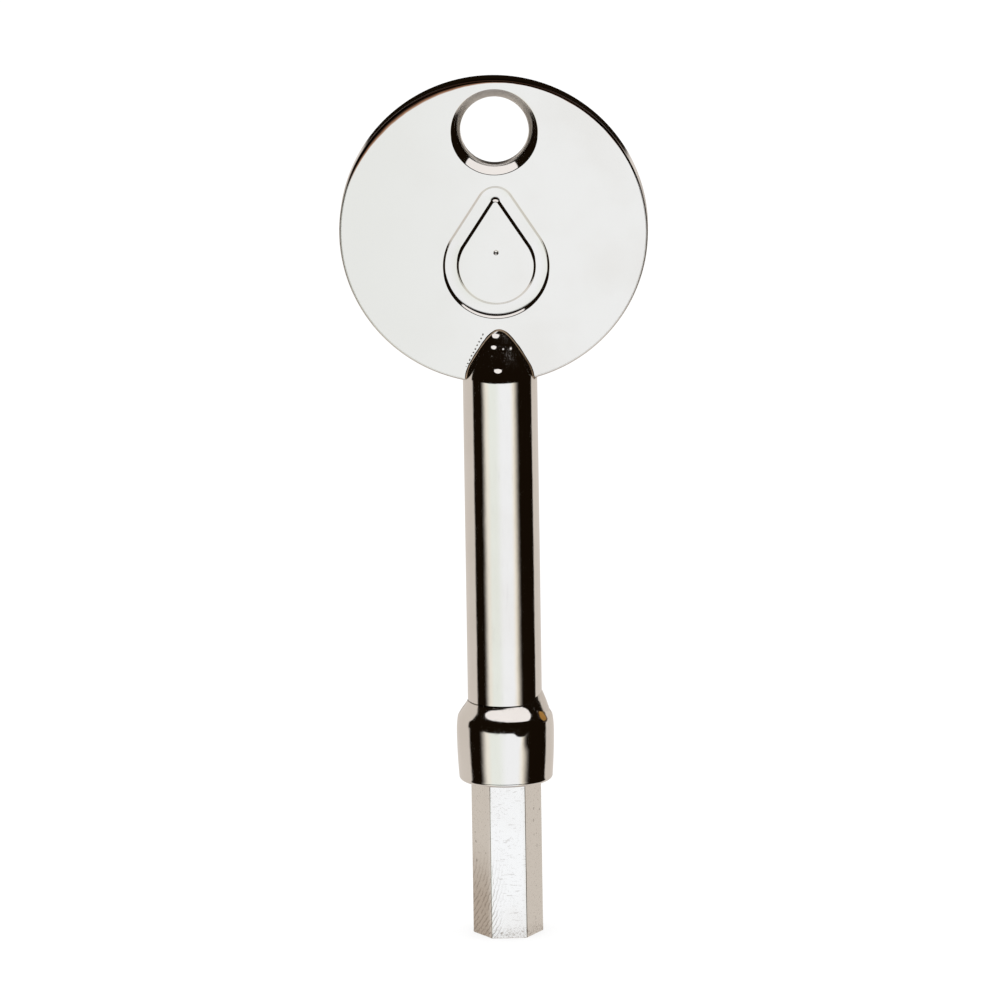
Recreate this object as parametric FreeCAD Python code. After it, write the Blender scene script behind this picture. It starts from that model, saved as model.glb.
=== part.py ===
import FreeCAD, Part

import math
import os

from FreeCAD import Vector

# Radiator bleed key. All sizes are in millimetres.
# The stem's axis is +Z, the bow's front face looks along -Y, and the origin is the centre of the bit's lower end.

# Hexagonal bit
BIT_ACROSS_FLATS = 5.0
BIT_REACH = 13.03             # length that stands out of the collar
BIT_SHANK = 4.0               # length held in the collar
BIT_TURN = 3.0                # degrees that the flats stand off the bow's plane
BIT_END_CHAMFER = 0.15

# Collar
COLLAR_DIAMETER = 8.0
COLLAR_CROWN = 0.15           # how far the side bulges between its ends, on the radius
COLLAR_LENGTH = 5.44          # below the cone
CONE_HEIGHT = 1.22
COLLAR_EDGE_RADIUS = 0.3
CONE_EDGE_RADIUS = 0.2

# Stem
STEM_DIAMETER = 6.1
STEM_LENGTH = 27.80           # from the seam with the collar to the corner of the nose
NOSE_HALF_ANGLE = 27.6        # degrees between the nose's side and the stem's axis
NOSE_SHOULDER_RADIUS = 3.5
SPIGOT_DIAMETER = 4.2
SPIGOT_LENGTH = 2.4
SPIGOT_CLEARANCE = 0.02       # on the radius
STEM_FOOT_CHAMFER = 0.06      # the fine groove of the seam

# Bow, which stands a little to the left of the stem's axis
BOW_DIAMETER = 25.2
BOW_THICKNESS = 2.5
BOW_CENTRE_HEIGHT = 59.09
BOW_OFFSET = -0.33
BOW_EDGE_RADIUS = 0.2

# Keyring hole, countersunk from both faces
HOLE_DIAMETER = 5.6
HOLE_MOUTH_DIAMETER = 7.1
HOLE_SINK_ANGLE = 90.0        # degrees, included
HOLE_ABOVE_BOW_CENTRE = 8.29
HOLE_OFFSET = -0.15           # from the stem's axis, as the mark is
HOLE_EDGE_RADIUS = 0.2

# Recessed water-drop mark on the front face
MARK_BELOW_BOW_CENTRE = 1.69
MARK_HEIGHT = 11.0
MARK_ROUND_RADIUS = 3.7       # centreline of the round lower end
MARK_TIP_RADIUS = 0.9         # centreline of the upper end
MARK_GROOVE_WIDTH = 1.3
MARK_GROOVE_DEPTH = 0.18
MARK_GROOVE_SLOPE = 45.0      # degrees of the groove's walls
PIP_DIAMETER = 0.4
PIP_DEPTH = 0.2

# Braze beads round the nose
BEAD_RADIUS = 0.2
BEAD_BELOW_FACE = 0.2         # how far a bead runs down past the flat of the bow's face

# Braze run in the corner over the collar's right side
RUN_HEIGHT = 0.77             # how far it climbs the stem above the seam
RUN_DOWN_CONE = 0.8           # the share of the cone's side that it covers
RUN_ANGLE = 120.0             # degrees of the way round, half before and half behind the right side

# Places worked out from the sizes above
HALF_THICKNESS = BOW_THICKNESS / 2.0
STEM_RADIUS = STEM_DIAMETER / 2.0
BOW_RADIUS = BOW_DIAMETER / 2.0
COLLAR_END_RADIUS = COLLAR_DIAMETER / 2.0 - COLLAR_CROWN
COLLAR_BOTTOM = BIT_REACH
CONE_BOTTOM = COLLAR_BOTTOM + COLLAR_LENGTH
SEAM = CONE_BOTTOM + CONE_HEIGHT
NOSE_CORNER = SEAM + STEM_LENGTH
BOW_CENTRE = Vector(BOW_OFFSET, 0, BOW_CENTRE_HEIGHT)
HOLE_CENTRE = Vector(HOLE_OFFSET, 0, BOW_CENTRE_HEIGHT + HOLE_ABOVE_BOW_CENTRE)
MARK_CENTRE = Vector(HOLE_OFFSET, 0, BOW_CENTRE_HEIGHT - MARK_BELOW_BOW_CENTRE)
# The slot's floor is where the bow's rim crosses the stem's left side, so the plate fills the slot there.
SLOT_FLOOR = BOW_CENTRE_HEIGHT - math.sqrt(BOW_RADIUS ** 2 - (STEM_RADIUS + BOW_OFFSET) ** 2)
# The flat of a bow face ends at the rim's rounding, and each bead runs on a little below that.
FACE_RADIUS = BOW_RADIUS - BOW_EDGE_RADIUS
BEAD_FOOT = BOW_CENTRE_HEIGHT - math.sqrt(FACE_RADIUS ** 2 - STEM_RADIUS ** 2) - BEAD_BELOW_FACE

AXIS = Vector(0, 0, 1)
REAR = Vector(0, 1, 0)
TINY = 1e-6


def upright_cylinder(radius, bottom, top):
    """A cylinder on the stem's axis, between two heights."""
    return Part.makeCylinder(radius, top - bottom, Vector(0, 0, bottom), AXIS)


def through_cylinder(radius, centre):
    """A cylinder that runs from front to back through the bow, longer than the bow is thick."""
    return Part.makeCylinder(radius, 2 * BOW_THICKNESS, centre - REAR * BOW_THICKNESS, REAR)


def turned(profile):
    """The solid swept by a profile in the XZ plane, once round the stem's axis."""
    return Part.Face(profile).revolve(Vector(0, 0, 0), AXIS, 360)


def polygon(points):
    """A closed wire of straight lines."""
    return Part.makePolygon(points + points[:1])


def round_edges(shape, radius, centre):
    """The circular edges of one radius whose centre is at one height and no further off than the bow is thick."""
    found = []
    for edge in shape.Edges:
        curve = edge.Curve
        if not isinstance(curve, Part.Circle) or abs(curve.Radius - radius) > TINY:
            continue
        offset = curve.Center - centre
        if abs(offset.x) < TINY and abs(offset.z) < TINY and abs(offset.y) < BOW_THICKNESS:
            found.append(edge)
    return found


def drop_wire(offset, y):
    """The outline of the water drop: two arcs joined by their common tangents, grown by an offset."""
    round_radius = MARK_ROUND_RADIUS + offset
    tip_radius = MARK_TIP_RADIUS + offset
    line_height = MARK_HEIGHT - MARK_GROOVE_WIDTH
    centres_apart = line_height - MARK_ROUND_RADIUS - MARK_TIP_RADIUS
    round_centre = MARK_CENTRE + AXIS * (MARK_ROUND_RADIUS - line_height / 2.0) + REAR * y
    tip_centre = round_centre + AXIS * centres_apart
    tangent = math.asin((MARK_ROUND_RADIUS - MARK_TIP_RADIUS) / centres_apart)

    def on_arc(centre, radius, angle):
        return centre + Vector(radius * math.cos(angle), 0, radius * math.sin(angle))

    right_foot = on_arc(round_centre, round_radius, tangent)
    left_foot = on_arc(round_centre, round_radius, math.pi - tangent)
    right_head = on_arc(tip_centre, tip_radius, tangent)
    left_head = on_arc(tip_centre, tip_radius, math.pi - tangent)
    lowest = on_arc(round_centre, round_radius, -math.pi / 2)
    highest = on_arc(tip_centre, tip_radius, math.pi / 2)
    return Part.Wire([
        Part.Arc(left_foot, lowest, right_foot).toShape(),
        Part.makeLine(right_foot, right_head),
        Part.Arc(right_head, highest, left_head).toShape(),
        Part.makeLine(left_head, left_foot),
    ])


def drop_groove():
    """The groove of the mark, narrower at its floor than at the bow's face."""
    face = -HALF_THICKNESS
    floor = face + MARK_GROOVE_DEPTH
    half_width = MARK_GROOVE_WIDTH / 2.0
    slope = MARK_GROOVE_DEPTH * math.tan(math.radians(MARK_GROOVE_SLOPE))
    outside = Part.makeLoft([drop_wire(half_width, face), drop_wire(half_width - slope, floor)], True, True)
    island = Part.makeLoft([drop_wire(-half_width, face), drop_wire(slope - half_width, floor)], True, True)
    return outside.cut(island)


def keyring_hole():
    """What the keyring hole takes away: a short straight land between two countersinks."""
    radius = HOLE_DIAMETER / 2.0
    mouth_radius = HOLE_MOUTH_DIAMETER / 2.0
    depth = (mouth_radius - radius) / math.tan(math.radians(HOLE_SINK_ANGLE / 2.0))
    front_sink = Part.makeCone(mouth_radius, radius, depth, HOLE_CENTRE - REAR * HALF_THICKNESS, REAR)
    back_sink = Part.makeCone(mouth_radius, radius, depth, HOLE_CENTRE + REAR * HALF_THICKNESS, -REAR)
    return through_cylinder(radius, HOLE_CENTRE).fuse([front_sink, back_sink])


def make_bow_plate():
    """The disc, rounded at its rim, flat where it stands on the slot's floor, with its hole and its mark."""
    plate = Part.makeCylinder(BOW_RADIUS, BOW_THICKNESS, BOW_CENTRE - REAR * HALF_THICKNESS, REAR)
    plate = plate.makeFillet(BOW_EDGE_RADIUS, round_edges(plate, BOW_RADIUS, BOW_CENTRE))
    plate = plate.cut(keyring_hole())
    plate = plate.makeFillet(HOLE_EDGE_RADIUS, round_edges(plate, HOLE_MOUTH_DIAMETER / 2.0, HOLE_CENTRE))
    plate = plate.cut(drop_groove())
    pip = Part.makeCone(PIP_DIAMETER / 2.0, 0, PIP_DEPTH, MARK_CENTRE - REAR * HALF_THICKNESS, REAR)
    plate = plate.cut(pip)
    below_floor = upright_cylinder(BOW_DIAMETER, 0, SLOT_FLOOR)
    return plate.cut(below_floor)


def stem_blank():
    """The turned bar before it is slotted: spigot, round bar and cone-shaped nose."""
    nose_rise = STEM_RADIUS / math.tan(math.radians(NOSE_HALF_ANGLE))
    spigot_radius = SPIGOT_DIAMETER / 2.0 - SPIGOT_CLEARANCE
    bar = turned(polygon([
        Vector(0, 0, SEAM - SPIGOT_LENGTH),
        Vector(spigot_radius, 0, SEAM - SPIGOT_LENGTH),
        Vector(spigot_radius, 0, SEAM),
        Vector(STEM_RADIUS - STEM_FOOT_CHAMFER, 0, SEAM),
        Vector(STEM_RADIUS, 0, SEAM + STEM_FOOT_CHAMFER),
        Vector(STEM_RADIUS, 0, NOSE_CORNER),
        Vector(0, 0, NOSE_CORNER + nose_rise),
    ]))
    return bar.makeFillet(NOSE_SHOULDER_RADIUS, round_edges(bar, STEM_RADIUS, AXIS * NOSE_CORNER))


def make_stem():
    """The bar with its nose slotted across to take the bow plate."""
    slot = Part.makeBox(2 * STEM_DIAMETER, BOW_THICKNESS, BOW_CENTRE_HEIGHT - SLOT_FLOOR)
    slot.translate(Vector(-STEM_DIAMETER, -HALF_THICKNESS, SLOT_FLOOR))
    return stem_blank().cut(slot)


def hexagon(bottom, top):
    """An upright hexagonal bar on the axis, with one flat nearly facing the front."""
    corner_radius = BIT_ACROSS_FLATS / math.sqrt(3.0)
    corners = []
    for step in range(6):
        angle = math.radians(60 * step + BIT_TURN)
        corners.append(Vector(corner_radius * math.cos(angle), corner_radius * math.sin(angle), bottom))
    return Part.Face(polygon(corners)).extrude(AXIS * (top - bottom))


def make_collar():
    """The sleeve: crowned side, rounded lower edge, cone up to the stem, a round bore over a hexagonal socket."""
    bore_radius = SPIGOT_DIAMETER / 2.0
    side_bottom = Vector(COLLAR_END_RADIUS, 0, COLLAR_BOTTOM)
    side_middle = Vector(COLLAR_DIAMETER / 2.0, 0, COLLAR_BOTTOM + COLLAR_LENGTH / 2.0)
    side_top = Vector(COLLAR_END_RADIUS, 0, CONE_BOTTOM)
    cone_top = Vector(STEM_RADIUS, 0, SEAM)
    bore_top = Vector(bore_radius, 0, SEAM)
    bore_bottom = Vector(bore_radius, 0, COLLAR_BOTTOM)
    sleeve = turned(Part.Wire([
        Part.makeLine(bore_bottom, side_bottom),
        Part.Arc(side_bottom, side_middle, side_top).toShape(),
        Part.makeLine(side_top, cone_top),
        Part.makeLine(cone_top, bore_top),
        Part.makeLine(bore_top, bore_bottom),
    ]))
    sleeve = sleeve.makeFillet(CONE_EDGE_RADIUS, round_edges(sleeve, COLLAR_END_RADIUS, AXIS * CONE_BOTTOM))
    sleeve = sleeve.makeFillet(COLLAR_EDGE_RADIUS, round_edges(sleeve, COLLAR_END_RADIUS, AXIS * COLLAR_BOTTOM))
    return sleeve.cut(hexagon(COLLAR_BOTTOM, COLLAR_BOTTOM + BIT_SHANK))


def make_hex_bit():
    """The hexagonal bar, chamfered at its lower end."""
    bar = hexagon(0, BIT_REACH + BIT_SHANK)
    end_edges = [edge for edge in bar.Edges if edge.BoundBox.ZMax < TINY]
    return bar.makeChamfer(BIT_END_CHAMFER, end_edges)


def nose_outline(face):
    """The line where the nose meets a bow face, from one side of the stem's flank round the tip to the other."""
    nose = stem_blank().common(upright_cylinder(STEM_DIAMETER, BEAD_FOOT, BOW_CENTRE_HEIGHT))
    outline = nose.slice(REAR, face)[0]
    edges = [edge for edge in outline.Edges if edge.BoundBox.ZMax > BEAD_FOOT + TINY]
    return Part.Wire(Part.__sortEdges__(edges))


def make_nose_braze(face, plate, stem):
    """The bead of filler in the corner between the nose and one face of the plate."""
    path = nose_outline(face)
    section = Part.Wire(Part.makeCircle(BEAD_RADIUS, path.OrderedVertexes[0].Point, AXIS))
    sweep = Part.BRepOffsetAPI.MakePipeShell(path)
    sweep.setBiNormalMode(REAR)
    sweep.add(section)
    sweep.build()
    sweep.makeSolid()
    return sweep.shape().cut([plate, stem])


def make_collar_braze():
    """The run of filler in the corner between the stem and the collar's cone, over part of the way round."""
    corner = Vector(STEM_RADIUS, 0, SEAM)
    head = corner + AXIS * RUN_HEIGHT
    foot = corner + Vector(COLLAR_END_RADIUS - STEM_RADIUS, 0, -CONE_HEIGHT) * RUN_DOWN_CONE
    section = polygon([corner, foot, head])
    section.rotate(Vector(0, 0, 0), AXIS, -RUN_ANGLE / 2.0)
    return Part.Face(section).revolve(Vector(0, 0, 0), AXIS, RUN_ANGLE)


def main():
    """Makes each piece and writes it to its own file."""
    os.makedirs("parts", exist_ok=True)
    plate = make_bow_plate()
    stem = make_stem()
    collar = make_collar()
    pieces = {
        "bow_plate": plate,
        "stem": stem,
        "collar": collar,
        "hex_bit": make_hex_bit(),
        "front_braze": make_nose_braze(-HALF_THICKNESS, plate, stem),
        "back_braze": make_nose_braze(HALF_THICKNESS, plate, stem),
        "collar_braze": make_collar_braze(),
    }
    for name, shape in pieces.items():
        shape.exportStep("parts/" + name + ".step")
        print(name, "solids:", len(shape.Solids), "volume:", round(shape.Volume, 3), "mm3")


main()
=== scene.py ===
"""A radiator bleed key in bright nickel: bow, stem, collar, hexagonal bit and the filler that joins them.

Every size in the classes is in millimetres. The stem's axis is +Z, the bow's front face looks along -Y, and the
origin is the centre of the bit's lower end.
"""

import logging
import math
import random
from collections.abc import Callable, Iterator
from contextlib import contextmanager
from dataclasses import dataclass, field
from enum import Enum

import bmesh
import bpy
from mathutils import Matrix, Vector


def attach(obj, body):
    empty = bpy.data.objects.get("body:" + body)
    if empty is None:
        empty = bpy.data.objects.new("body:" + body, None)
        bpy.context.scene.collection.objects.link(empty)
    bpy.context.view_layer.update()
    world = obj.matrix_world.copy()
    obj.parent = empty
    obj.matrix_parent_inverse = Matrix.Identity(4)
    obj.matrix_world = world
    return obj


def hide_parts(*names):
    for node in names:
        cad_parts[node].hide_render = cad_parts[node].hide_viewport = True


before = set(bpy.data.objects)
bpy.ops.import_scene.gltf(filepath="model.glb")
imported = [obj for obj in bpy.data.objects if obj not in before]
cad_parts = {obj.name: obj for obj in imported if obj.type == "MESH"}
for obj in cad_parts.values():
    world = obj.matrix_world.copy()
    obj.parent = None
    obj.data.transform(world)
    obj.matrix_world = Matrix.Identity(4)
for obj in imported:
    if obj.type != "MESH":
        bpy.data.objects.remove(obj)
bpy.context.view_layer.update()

MM = 0.001
BODY = "root"
SEGMENTS = 192
TINY = 1e-6

Point = tuple[float, float]
Place = tuple[float, float, float]
Colour = tuple[float, float, float]

log = logging.getLogger("bleed_key")


class Axis(Enum):
    """The two directions that round shapes are turned about."""

    UPRIGHT = "z"
    THROUGH = "y"


class Slot(Enum):
    """The record's material slots."""

    NICKEL = "nickel_plate"
    BIT = "bit_metal"
    BRAZE = "braze_metal"


# ---------------------------------------------------------------- modelling


def deselect_all() -> None:
    """Leaves no object selected."""
    bpy.ops.object.select_all(action="DESELECT")


def make_active(piece: bpy.types.Object) -> None:
    """Selects one object alone and makes it active."""
    deselect_all()
    piece.select_set(True)
    bpy.context.view_layer.objects.active = piece


def new_piece(name: str) -> bpy.types.Object:
    """Makes an object with an empty mesh at the origin.

    Args:
        name: The object's name.

    Returns:
        The object, ready for primitives to be added in edit mode.
    """
    piece = bpy.data.objects.new(name, bpy.data.meshes.new(name))
    bpy.context.scene.collection.objects.link(piece)
    return piece


@contextmanager
def editing(piece: bpy.types.Object) -> Iterator[None]:
    """Edit mode on one piece, which starts with nothing selected.

    Args:
        piece: The piece to edit.
    """
    make_active(piece)
    bpy.ops.object.mode_set(mode="EDIT")
    bpy.ops.mesh.select_mode(type="VERT")
    bpy.ops.mesh.select_all(action="DESELECT")
    yield
    bpy.ops.object.mode_set(mode="OBJECT")


def select_where(piece: bpy.types.Object, test: Callable[[Vector], bool]) -> None:
    """Selects the vertices whose place, in millimetres, passes a test.

    Args:
        piece: The piece that is in edit mode.
        test: Says whether a place is wanted.
    """
    mesh = bmesh.from_edit_mesh(piece.data)
    for vert in mesh.verts:
        vert.select_set(test(vert.co / MM))
    mesh.select_flush_mode()
    bmesh.update_edit_mesh(piece.data)


def turn(name: str, profile: list[Point], axis: Axis, centre: Place, closed: bool = False) -> bpy.types.Object:
    """Turns a profile about an axis, ring by ring.

    Args:
        name: The piece's name.
        profile: (radius, place along the axis) of each ring.
        axis: The axis that the profile is turned about.
        centre: The point that the profile's places are counted from.
        closed: Joins the last ring to the first, as on a sleeve. Otherwise both ends are capped.

    Returns:
        The turned piece.
    """
    upright = axis is Axis.UPRIGHT
    along = Vector((0, 0, 1)) if upright else Vector((0, 1, 0))
    tilt = (0, 0, 0) if upright else (math.pi / 2, 0, 0)
    rings = profile + profile[:1] if closed else profile
    piece = new_piece(name)
    with editing(piece):
        middle = Vector(centre) + along * rings[0][1]
        bpy.ops.mesh.primitive_circle_add(
            vertices=SEGMENTS, radius=rings[0][0] * MM, location=middle * MM, rotation=tilt,
            fill_type="NOTHING" if closed else "NGON")
        for (radius, place), (next_radius, next_place) in zip(rings, rings[1:]):
            step = along * (next_place - place) * MM
            bpy.ops.mesh.extrude_region_move(TRANSFORM_OT_translate={"value": step})
            ratio = next_radius / radius
            scale = (ratio, ratio, 1) if upright else (ratio, 1, ratio)
            middle = Vector(centre) + along * next_place
            bpy.ops.transform.resize(value=scale, center_override=middle * MM)
        close_up()
    return piece


def close_up() -> None:
    """Merges the open piece's doubles and turns its faces outward."""
    bpy.ops.mesh.select_all(action="SELECT")
    bpy.ops.mesh.remove_doubles(threshold=TINY)
    bpy.ops.mesh.normals_make_consistent(inside=False)


def apply_modifier(piece: bpy.types.Object, kind: str, **settings: object) -> None:
    """Adds a modifier to a piece and applies it.

    Args:
        piece: The piece to change.
        kind: Blender's name for the kind of modifier.
        settings: The modifier's own values.
    """
    modifier = piece.modifiers.new(kind.lower(), kind)
    for key, value in settings.items():
        setattr(modifier, key, value)
    make_active(piece)
    bpy.ops.object.modifier_apply(modifier=modifier.name)


def carve(piece: bpy.types.Object, cutter: bpy.types.Object) -> None:
    """Cuts one solid out of a piece and takes the cutter away.

    Args:
        piece: The piece to cut.
        cutter: The closed solid that is taken out of it.
    """
    apply_modifier(piece, "BOOLEAN", operation="DIFFERENCE", solver="EXACT", object=cutter)
    bpy.data.objects.remove(cutter)


def soften(piece: bpy.types.Object, width: float, angle: float = 25.0) -> None:
    """Rounds the sharp edges.

    Args:
        piece: The piece to change.
        width: The bevel's width.
        angle: Edges that turn by more than this many degrees are rounded.
    """
    apply_modifier(piece, "BEVEL", width=width * MM, segments=3, limit_method="ANGLE", angle_limit=math.radians(angle),
                   miter_outer="MITER_ARC", harden_normals=False)


def smooth(piece: bpy.types.Object) -> None:
    """Smooth shading with sharp creases kept, weighted by the size of the faces."""
    make_active(piece)
    bpy.ops.object.shade_smooth_by_angle(angle=math.radians(35))
    apply_modifier(piece, "WEIGHTED_NORMAL", keep_sharp=True, weight=50)


def roughen(piece: bpy.types.Object, depth: float, size: float, chosen: Callable[[Vector], float]) -> None:
    """Pushes the surface in and out, as hand finishing leaves it.

    Args:
        piece: The piece to change.
        depth: How far it moves at most.
        size: How large the lumps are.
        chosen: Gives the share of the depth, 0 to 1, at each place.
    """
    group = piece.vertex_groups.new(name="lumps")
    for vert in piece.data.vertices:
        share = chosen(vert.co / MM)
        if share > 0:
            group.add([vert.index], share, "REPLACE")
    clouds = bpy.data.textures.new("lumps", "CLOUDS")
    clouds.noise_scale = size * MM
    clouds.noise_depth = 1
    apply_modifier(piece, "DISPLACE", texture=clouds, strength=depth * MM, mid_level=0.5,
                   texture_coords="LOCAL", vertex_group="lumps")
    piece.vertex_groups.clear()


def dent(piece: bpy.types.Object, place: Place, reach: float, push: Place) -> None:
    """Pushes a small round area of the surface.

    Args:
        piece: The piece to dent.
        place: The middle of the dent.
        reach: The radius over which the push dies away.
        push: How far and which way the middle moves.
    """
    middle = Vector(place)
    nearest = min(((vert.co / MM - middle).length for vert in piece.data.vertices))
    with editing(piece):
        select_where(piece, lambda at: (at - middle).length <= nearest + TINY)
        bpy.ops.transform.translate(
            value=Vector(push) * MM, use_proportional_edit=True, proportional_edit_falloff="SMOOTH",
            proportional_size=reach * MM)


def arc(centre: Point, radius: float, start: float, end: float, steps: int) -> list[Point]:
    """Points along an arc of a profile.

    Args:
        centre: (radius, place) of the arc's centre.
        radius: The arc's radius.
        start: Its first angle in degrees, from the outward direction.
        end: Its last angle in degrees.
        steps: How many steps it is divided into.

    Returns:
        The points, both ends included.
    """
    turns = [math.radians(start + (end - start) * step / steps) for step in range(steps + 1)]
    return [(centre[0] + radius * math.cos(turn_), centre[1] + radius * math.sin(turn_)) for turn_ in turns]


def rise(low: float, high: float, value: float) -> float:
    """A smooth step from 0 at low to 1 at high."""
    share = min(max((value - low) / (high - low), 0.0), 1.0)
    return share * share * (3 - 2 * share)


# ---------------------------------------------------------------- materials


class NodeDesk:
    """Adds and links the nodes of one node tree."""

    def __init__(self, tree: bpy.types.NodeTree) -> None:
        """Keeps the tree."""
        self.tree = tree

    def add(self, kind: str, **values: object) -> bpy.types.Node:
        """Adds a node.

        Args:
            kind: The node's type.
            values: The node's own settings.

        Returns:
            The node.
        """
        node = self.tree.nodes.new(kind)
        for key, value in values.items():
            setattr(node, key, value)
        return node

    def feed(self, socket: bpy.types.NodeSocket, source: object) -> None:
        """Links a socket to another, or sets it to a plain value."""
        if isinstance(source, bpy.types.NodeSocket):
            self.tree.links.new(source, socket)
        else:
            socket.default_value = source

    def math(self, operation: str, *terms: object) -> bpy.types.NodeSocket:
        """Does arithmetic on sockets and numbers.

        Args:
            operation: Blender's name for the sum.
            terms: Its terms in order.

        Returns:
            The socket that holds the result.
        """
        node = self.add("ShaderNodeMath", operation=operation)
        for socket, term in zip(node.inputs, terms):
            self.feed(socket, term)
        return node.outputs[0]

    def step(self, value: object, low: float, high: float) -> bpy.types.NodeSocket:
        """A smooth step of a value, 0 at low and 1 at high, which may lie the other way round."""
        node = self.add("ShaderNodeMapRange", interpolation_type="SMOOTHSTEP")
        for name, term in (("Value", value), ("From Min", low), ("From Max", high)):
            self.feed(node.inputs[name], term)
        return node.outputs["Result"]

    def split(self, vector: bpy.types.NodeSocket) -> tuple[bpy.types.NodeSocket, ...]:
        """The X, Y and Z parts of a vector."""
        node = self.add("ShaderNodeSeparateXYZ")
        self.feed(node.inputs[0], vector)
        return tuple(node.outputs)

    def stretch(self, vector: bpy.types.NodeSocket, **settings: Place) -> bpy.types.NodeSocket:
        """A vector that is moved, turned or scaled, each by the Mapping node's input of that name."""
        node = self.add("ShaderNodeMapping")
        self.feed(node.inputs["Vector"], vector)
        for key, value in settings.items():
            node.inputs[key.capitalize()].default_value = value
        return node.outputs["Vector"]

    def squares(self, first: object, second: object) -> bpy.types.NodeSocket:
        """The sum of two values' squares."""
        return self.math("ADD", self.math("MULTIPLY", first, first), self.math("MULTIPLY", second, second))

    def around(self, x: object, z: object, centre: Point) -> tuple[bpy.types.NodeSocket, ...]:
        """Measures a place from a centre.

        Args:
            x: The place's X in metres.
            z: The place's Z in metres.
            centre: The centre's X and Z in millimetres.

        Returns:
            How far the place is across from the centre, above it and away from it.
        """
        across = self.math("SUBTRACT", x, centre[0] * MM)
        above = self.math("SUBTRACT", z, centre[1] * MM)
        return across, above, self.math("SQRT", self.squares(across, above))

    def dab(self, mask: object, share: float, colour: object, tone: Colour) -> bpy.types.NodeSocket:
        """Lays a tone over a colour where a mask is, at a share of its strength."""
        return self.mix(self.math("MULTIPLY", mask, share), colour, tone)

    def mix(self, share: object, first: object, second: object) -> bpy.types.NodeSocket:
        """Mixes two colours.

        Args:
            share: How much of the second shows.
            first: A colour or a colour socket.
            second: A colour or a colour socket.

        Returns:
            The mixed colour's socket.
        """
        node = self.add("ShaderNodeMix", data_type="RGBA")
        sockets = (node.inputs[0], node.inputs[6], node.inputs[7])
        for socket, source in zip(sockets, (share, first, second)):
            plain = isinstance(source, tuple) and len(source) == 3
            self.feed(socket, (*source, 1.0) if plain else source)
        return node.outputs[2]

    def window(self, value: object, low: float, high: float, soft: float) -> bpy.types.NodeSocket:
        """A mask that is 1 between two values and 0 outside them, with soft ends."""
        opens = self.step(value, low - soft, low + soft)
        closes = self.step(value, high + soft, high - soft)
        return self.math("MULTIPLY", opens, closes)

    def noise(self, vector: object, scale: object, detail: float = 2.0) -> bpy.types.NodeSocket:
        """A cloudy value from 0 to 1."""
        node = self.add("ShaderNodeTexNoise")
        node.inputs["Detail"].default_value = detail
        self.feed(node.inputs["Vector"], vector)
        self.feed(node.inputs["Scale"], scale)
        return node.outputs["Fac"]

    def group(self, tree: bpy.types.NodeTree, **inputs: object) -> bpy.types.NodeSocket:
        """Places a node group.

        Args:
            tree: The group.
            inputs: Its inputs by name, with _ for a space.

        Returns:
            The group's first output.
        """
        node = self.add("ShaderNodeGroup", node_tree=tree)
        for key, value in inputs.items():
            self.feed(node.inputs[key.replace("_", " ").capitalize()], value)
        return node.outputs[0]


def new_group(name: str, output: str, floats: dict[str, float], vectors: tuple[str, ...] = ("Vector",)
              ) -> tuple[NodeDesk, bpy.types.Node, bpy.types.Node]:
    """Starts a shader node group.

    Args:
        name: The group's name.
        output: The name of its one output.
        floats: Its number inputs with their usual values.
        vectors: Its vector inputs.

    Returns:
        The desk, the input node and the output node.
    """
    tree = bpy.data.node_groups.new(name, "ShaderNodeTree")
    for key in vectors:
        tree.interface.new_socket(key, in_out="INPUT", socket_type="NodeSocketVector")
    for key, value in floats.items():
        tree.interface.new_socket(key, in_out="INPUT", socket_type="NodeSocketFloat").default_value = value
    tree.interface.new_socket(output, in_out="OUTPUT", socket_type="NodeSocketFloat")
    desk = NodeDesk(tree)
    return desk, desk.add("NodeGroupInput"), desk.add("NodeGroupOutput")


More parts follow.
